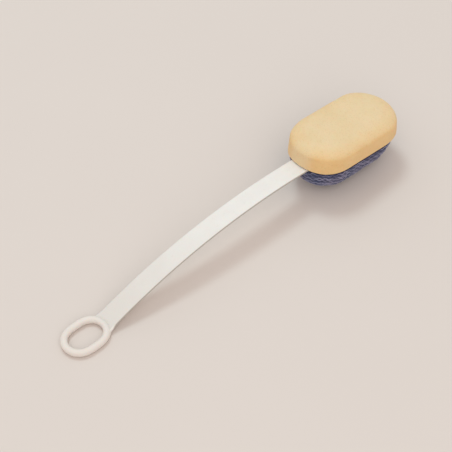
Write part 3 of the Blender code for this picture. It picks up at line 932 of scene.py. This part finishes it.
YARN_PITCH = 0.0027
YARN_SWING = 0.00050
YARN_WAVES = 48
YARN_POINTS_PER_WAVE = 8
YARN_HALF_WIDTH = 0.00072
YARN_HALF_HEIGHT = 0.00048
YARN_SIDES = 8
YARN_TWIST = 0.0016
YARN_DRIFT = 0.0005
YARN_CROSSING = 0.00022
FLOOR_GAP = 0.00005
NET_INSET = YARN_HALF_HEIGHT + 0.0001


def mouth_cut(points, room=0.0):
    """Which points of the row frame are in the slot that the strap goes through."""
    local = to_head(points)
    beside = np.abs(local[:, 1]) < MOUTH_HALF_WIDTH + room
    return beside & (local[:, 2] > -MOUTH_DEPTH - room) & (local[:, 0] < 0.0)


def round_the_bowl(bowl, shares, reaches):
    """Places on the flat cloth, by their share of the way round the bowl and their reach from the spine."""
    straight = 2.0 * HEAD_HALF_STRAIGHT
    curve = math.pi * bowl.radius
    travelled = shares * 2.0 * (straight + curve)
    legs = [0.0, straight, straight + curve, 2.0 * straight + curve, 2.0 * (straight + curve)]
    spine = np.interp(travelled, legs, [-1.0, 1.0, 1.0, -1.0, -1.0]) * bowl.half_spine
    turns = np.interp(travelled, legs, [-0.5, -0.5, 0.5, 0.5, 1.5]) * math.pi
    return spine + reaches * np.cos(turns), reaches * np.sin(turns)


def noise_round(count, frequency, height):
    """Noise at each point of a closed yarn, without a jump where it closes."""
    return np.array([noise.noise(Vector((x, y, height))) for x, y in frequency * full_turn(count)])


def yarn_path(bowl, row, form):
    """One yarn's middle line round the bowl, with the directions out of the bowl."""
    reach = bowl.rim - YARN_HALF_WIDTH - row * YARN_PITCH
    # Nearer the bottom a yarn is shorter and waves less often.
    thirds = 1 + (reach > 0.28 * bowl.rim) + (reach > 0.55 * bowl.rim)
    waves = YARN_WAVES * thirds // 3
    count = waves * YARN_POINTS_PER_WAVE
    shares = np.arange(count) / count
    uneven = noise_round(count, 9.0, 0.7 * row)
    drift = noise_round(count, 4.0, 0.4 * row + 20.0)
    swing = YARN_SWING * (1.0 + 0.9 * uneven) * (1.0 if row else 0.35)
    phase = math.tau * (waves * shares + 0.35 * drift + 0.12 * uneven) + math.pi * (row % 2)
    reaches = np.clip(reach + swing * np.cos(phase) + YARN_DRIFT * drift, 0.0009, bowl.rim)
    middles, normals = bowl.place(*round_the_bowl(bowl, shares, reaches))
    lift = creases(form, middles) + YARN_CROSSING * np.sin(phase)
    return press_on_floor(middles + normals * lift[:, None], YARN_HALF_HEIGHT + FLOOR_GAP), normals


def yarn_tones(row, count):
    """How pale a yarn is at each of its points: each has its own tone, and fades and deepens on its way."""
    own = noise.noise(Vector((row * 0.73, 2.0, 5.0)))
    return np.clip(0.42 + 1.3 * own + 1.5 * noise_round(count, 5.0, 1.7 * row + 60.0), 0.0, 1.0)


def tube(middles, normals, turns):
    """Rings of points round a closed middle line, flattened against the bowl, and the way along it."""
    tangents = np.roll(middles, -1, 0) - np.roll(middles, 1, 0)
    tangents /= np.linalg.norm(tangents, axis=1)[:, None]
    sides = np.cross(normals, tangents)
    sides /= np.linalg.norm(sides, axis=1)[:, None]
    ups = np.cross(tangents, sides)
    wide = YARN_HALF_WIDTH * np.cos(turns)
    tall = YARN_HALF_HEIGHT * np.sin(turns)
    steps = np.linalg.norm(np.diff(middles, axis=0), axis=1)
    rings = middles[:, None] + sides[:, None] * wide[None, :, None] + ups[:, None] * tall[None, :, None]
    return rings, np.concatenate([[0.0], np.cumsum(steps)])


def build_net(form):
    """The net: yarns round the bowl that wave to meet the ones above and below, cut where the strap goes in.
    Returns the points of their middle lines."""
    bowl = Bowl(NET_INSET, SEWN_TOP, DRAWN_IN)
    turns = math.tau * np.arange(YARN_SIDES) / YARN_SIDES
    points, faces, tones, lays, centres = [], [], [], [], []
    for row in range(int(bowl.rim / YARN_PITCH)):
        middles, normals = yarn_path(bowl, row, form)
        rings, travelled = tube(middles, normals, turns)
        whole = ~mouth_cut(middles, YARN_HALF_WIDTH)
        count, start = len(middles), len(points)
        points.extend(rings.reshape(-1, 3))
        tones.extend(np.repeat(yarn_tones(row, count), YARN_SIDES))
        lays.extend((travelled[:, None] / YARN_TWIST * math.tau + 2.0 * turns[None]).ravel())
        centres.extend(middles[whole])
        for i in range(count):
            following = (i + 1) % count
            low, high = start + i * YARN_SIDES, start + following * YARN_SIDES
            if whole[i] and whole[following]:
                faces += ring_faces(high, low, YARN_SIDES)
            elif whole[i] and whole[i - 1]:
                faces.append(tuple(low + k for k in range(YARN_SIDES)))
            elif whole[following] and whole[(i + 2) % count]:
                faces.append(tuple(high + k for k in reversed(range(YARN_SIDES))))
    mesh = mesh_of("scrub_net", points, faces)
    set_attribute(mesh, "tone", tones)
    set_attribute(mesh, "lay", lays)
    net = new_piece("scrub_net", mesh, net_material())
    tidy_faces(net.data)
    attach(net, "root")
    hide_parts("net_cover")
    return np.array(centres)


def tidy_faces(mesh):
    """Removes points without faces and turns all faces outward."""
    shape = bmesh.new()
    shape.from_mesh(mesh)
    loose = [vertex for vertex in shape.verts if not vertex.link_faces]
    bmesh.ops.delete(shape, geom=loose, context="VERTS")
    bmesh.ops.recalc_face_normals(shape, faces=shape.faces)
    shape.to_mesh(mesh)
    shape.free()


# ---- the lining and the core

LINING_AROUND = 300
LINING_UP = 84
LINING_BULGE = 0.0006
LINING_FLOOR = YARN_HALF_HEIGHT * 1.6
BULGE_START = 0.0006
BULGE_FADE = 0.0014
PLEAT_ANGLE = 9.0
PLEAT_DEPTH = 0.00030
CORE_AROUND = 160
CORE_VOXEL = 0.0011
CORE_EDGE_FADE = 0.0009
CORE_SMOOTH_TOP = 0.006
CORE_GRAIN = 0.00012


def bowl_sheet(bowl, around, up):
    """Places on the flat cloth in rings from the spine out to the rim, and the faces between them."""
    half, flat = around // 2, 2.0 * bowl.half_spine
    straight = round(half * flat / (flat + math.pi * bowl.rim))
    curved = half - straight
    turns = np.concatenate([np.linspace(-0.5, 0.5, curved, endpoint=False), np.full(straight, 0.5)])
    turns = math.pi * np.concatenate([turns, turns + 1.0])
    spine = np.concatenate([np.ones(curved), np.linspace(1.0, -1.0, straight, endpoint=False)])
    spine = bowl.half_spine * np.concatenate([spine, -spine])
    reaches = bowl.rim * np.linspace(0.0, 1.0, up + 1)[1:]
    along = spine + reaches[:, None] * np.cos(turns)
    across = reaches[:, None] * np.sin(turns)
    faces = [face for i in range(up - 1) for face in ring_faces((i + 1) * around, i * around, around)]
    # The middle of the cloth is a strip of faces across the spine.
    order = np.roll(np.arange(around), -(curved // 2)).tolist()
    low, high = order[:half], order[half:][::-1]
    faces += zip(low[:-1], high[:-1], high[1:], low[1:])
    return along.ravel(), across.ravel(), faces


def build_lining(form, yarns):
    """The cloth under the net: it bulges between the yarns, and is pleated round the ends of the head."""
    bowl = Bowl(LINING_INSET, SEWN_TOP, DRAWN_IN)
    along, across, faces = bowl_sheet(bowl, LINING_AROUND, LINING_UP)
    points, normals = bowl.place(along, across)
    _, reach, angle = bowl.polar(along, across)
    nearest = tree_of(yarns)
    gap = np.array([nearest.find(point)[2] for point in points])
    outward = creases(form, points) + LINING_BULGE * (smooth_step((gap - BULGE_START) / BULGE_FADE) - 0.5)
    at_end = smooth_step((reach / bowl.rim - 0.5) / 0.5) * (np.abs(along) > bowl.half_spine)
    turns = np.degrees(angle) / PLEAT_ANGLE * math.tau
    outward += PLEAT_DEPTH * at_end * np.sin(turns + 3.0 * noise_at(points, 70.0))
    points = press_on_floor(points + normals * outward[:, None], LINING_FLOOR)
    open_part = mouth_cut(points)
    kept = [face for face in faces if not open_part[list(face)].any()]
    lining = new_piece("lining_cloth", mesh_of("lining_cloth", points, kept),
                       cloth_material("lining_cloth", 0.00042, (38, 40, 66), (72, 76, 112)))
    tidy_faces(lining.data)
    set_all(lining.modifiers.new("Thickness", "SOLIDIFY"), thickness=LINING_THICKNESS, offset=-1.0)
    apply_modifiers(lining)
    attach(lining, "root")
    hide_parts("cover_lining")


def build_core(form):
    profile = bowl_profile(Bowl(CORE_INSET), CORE_TOP)
    core = new_piece("foam_core", turned_oval("foam_core", profile, CORE_AROUND, PAD_STRAIGHT_AT_BOTTOM),
                     core_material())
    remesh(core, CORE_VOXEL, 2)
    points, normals = surface_of(core.data)
    below_top = smooth_step((-CORE_SMOOTH_TOP - to_head(points)[:, 2]) / CORE_SMOOTH_TOP)
    points = points + normals * (creases(form, points) * below_top)[:, None]
    # The paddle is sunk into the core's top.
    local = to_head(points)
    half_widths = np.array([paddle_half_width(HEAD_CENTRE + x) for x in local[:, 0]])
    room = half_widths + CORE_RECESS_ROOM - np.abs(local[:, 1])
    inside = smooth_step(room / CORE_EDGE_FADE + 1.0)
    inside *= local[:, 0] < PADDLE_HALF_STRAIGHT + PADDLE_RADIUS + CORE_RECESS_ROOM
    local[:, 2] += inside * np.minimum(CORE_RECESS_FLOOR - local[:, 2], 0.0)
    grain = normals * (CORE_GRAIN * noise_at(points, 900.0))[:, None]
    set_points(core.data, press_on_floor(from_head(drawn_at_mouth(local)) + grain, CORE_INSET))
    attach(core, "root")
    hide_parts("core_pad")


# ---- the binding and its stitches

TAPE_STEP = 0.0004
TAPE_SIDES = 16
TAPE_SQUARENESS = 0.55
STITCH_STEPS = 12
STITCH_SHARE = 0.72
STITCH_FADE = 0.10
STITCH_SLANT = 0.00042
STITCH_ROOM = 0.0006
THREAD_SIDES = 8
THREAD_LIFT = 0.00012


def rim_path(radius, height, gap, step):
    """Points round the head's rim, a step apart, from one side of the strap's mouth to the other."""
    turn = math.degrees(math.asin(gap / radius))
    side = np.vstack([arc((HEAD_HALF_STRAIGHT, 0.0), radius, 0.0, 90.0, 40),
                      arc((-HEAD_HALF_STRAIGHT, 0.0), radius, 90.0, 180.0 - turn, 40)])
    corners = np.vstack([(side * (1.0, -1.0))[::-1], side[1:]])
    lengths = np.concatenate([[0.0], np.cumsum(np.linalg.norm(np.diff(corners, axis=0), axis=1))])
    count = int(lengths[-1] / step)
    places = np.linspace(0.0, lengths[-1], count + 1)
    path = [np.interp(places, lengths, corners[:, axis]) for axis in (0, 1)]
    return np.stack([*path, np.full(len(places), height)], 1), places


def outward_of(path):
    """Directions out of the head, level with its seam, for points round its rim."""
    ahead = np.gradient(path, axis=0)
    ahead /= np.linalg.norm(ahead, axis=1)[:, None]
    return np.stack([ahead[:, 1], -ahead[:, 0], np.zeros(len(path))], 1)


def swept(name, path, section, material):
    """A closed tube: section gives (outward, up) rows for each point of a path in the head's frame."""
    rings = path[:, None] + outward_of(path)[:, None] * section[:, :, :1]
    rings[:, :, 2] += section[:, :, 1]
    count, sides = section.shape[:2]
    faces = [face for i in range(count - 1) for face in ring_faces((i + 1) * sides, i * sides, sides)]
    faces += [tuple(reversed(range(sides))), tuple((count - 1) * sides + k for k in range(sides))]
    points = from_head(drawn_at_mouth(rings.reshape(-1, 3)))
    return new_piece(name, mesh_of(name, points, faces), material)


def build_binding():
    """Tape folded over the rim of the net and lining, drawn in at every stitch."""
    path, places = rim_path(BINDING_LINE_RADIUS, BINDING_HEIGHT, MOUTH_HALF_WIDTH, TAPE_STEP)
    circle = full_turn(TAPE_SIDES)
    drawn = np.cos(math.tau * places / STITCH_PITCH)
    wander = np.array([noise.noise(Vector((place * 90.0, 1.0, 7.0))) for place in places])
    wide = BINDING_HALF_WIDTH * (1.0 - 0.05 * drawn + 0.06 * wander)
    tall = BINDING_HALF_HEIGHT * (1.0 - 0.06 * drawn)
    across, upward = (np.sign(circle) * np.abs(circle) ** TAPE_SQUARENESS).T
    section = np.stack([wide[:, None] * across, tall[:, None] * upward], 2)
    # The tape is near-black: a dark navy tape, darkened further to stand in for the shade in the seam's gap.
    tape = swept("binding_tape", path, section,
                 cloth_material("binding_tape", 0.00035, (6, 6, 12), (18, 18, 32), 0.05))
    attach(tape, "root")
    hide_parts("seam_binding")


def build_stitches():
    """The seam's thread: slanted stitches on the tape's outside, one after another."""
    path, places = rim_path(BINDING_LINE_RADIUS + BINDING_HALF_WIDTH, BINDING_HEIGHT,
                            MOUTH_HALF_WIDTH + STITCH_ROOM, STITCH_PITCH / STITCH_STEPS)
    phase = places / STITCH_PITCH % 1.0
    shown = smooth_step(np.minimum(phase, STITCH_SHARE - phase) / STITCH_FADE)
    lift = THREAD_RADIUS * (0.55 * shown - 0.75 * (1.0 - shown)) + THREAD_LIFT
    middle = path + outward_of(path) * lift[:, None]
    middle[:, 2] += STITCH_SLANT * np.interp(phase, [0.0, STITCH_SHARE, 1.0], [-1.0, 1.0, -1.0])
    section = THREAD_RADIUS * full_turn(THREAD_SIDES)
    # The thread is darkened the same way: partly its own dark navy, partly painted shade of the seam.
    thread = swept("seam_stitches", middle, np.repeat(section[None], len(middle), 0),
                   cloth_material("sewing_thread", 0.0003, (14, 15, 28), (36, 37, 60), 0.05))
    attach(thread, "root")
    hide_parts("seam_thread")


# ---- the adhesive


def build_glue():
    """The two films of adhesive keep the CAD's own flat ovals, and only get a material."""
    adhesive = glue_material()
    for name in ("sponge_glue_film", "paddle_glue_film"):
        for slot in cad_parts[name].material_slots:
            slot.material = adhesive


# ---- final steps

add_camera()
add_lights()
add_floor()
bpy.context.scene.view_settings.view_transform = "Standard"

build_handle()
build_sponge()
form = stuffed_form()
build_lining(form, build_net(form))
build_core(form)
build_binding()
build_stitches()
build_glue()
